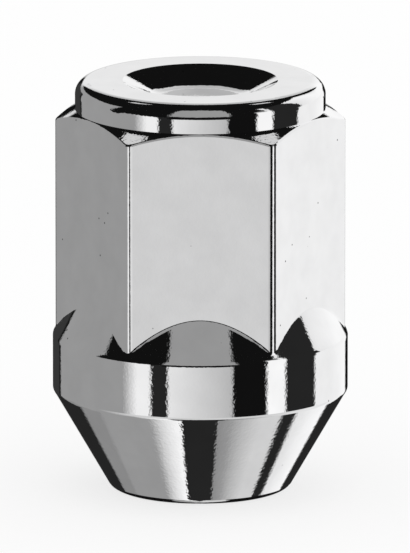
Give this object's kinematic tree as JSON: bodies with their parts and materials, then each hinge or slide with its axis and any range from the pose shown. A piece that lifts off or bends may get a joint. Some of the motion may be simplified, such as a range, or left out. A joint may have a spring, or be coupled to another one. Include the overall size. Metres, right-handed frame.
{
  "type": "acorn lug nut",
  "caption": "Closed-end wheel nut with a conical seat, round skirt, hexagon and dished collar; a blind threaded bore takes the wheel stud",
  "frame": {"origin": "centre of the small end, in its plane, where the nut stands", "axes": "+Z is the thread axis, from the conical seat to the dished closed end; two of the hexagon's flats face +Y and -Y"},
  "size_m": [0.0244, 0.0244, 0.0344],
  "materials": {
    "chrome_plate": "bright chrome plate over forged steel"
  },
  "bodies": {
    "root": {"lug_nut": "chrome_plate"}
  },
  "joints": []
}
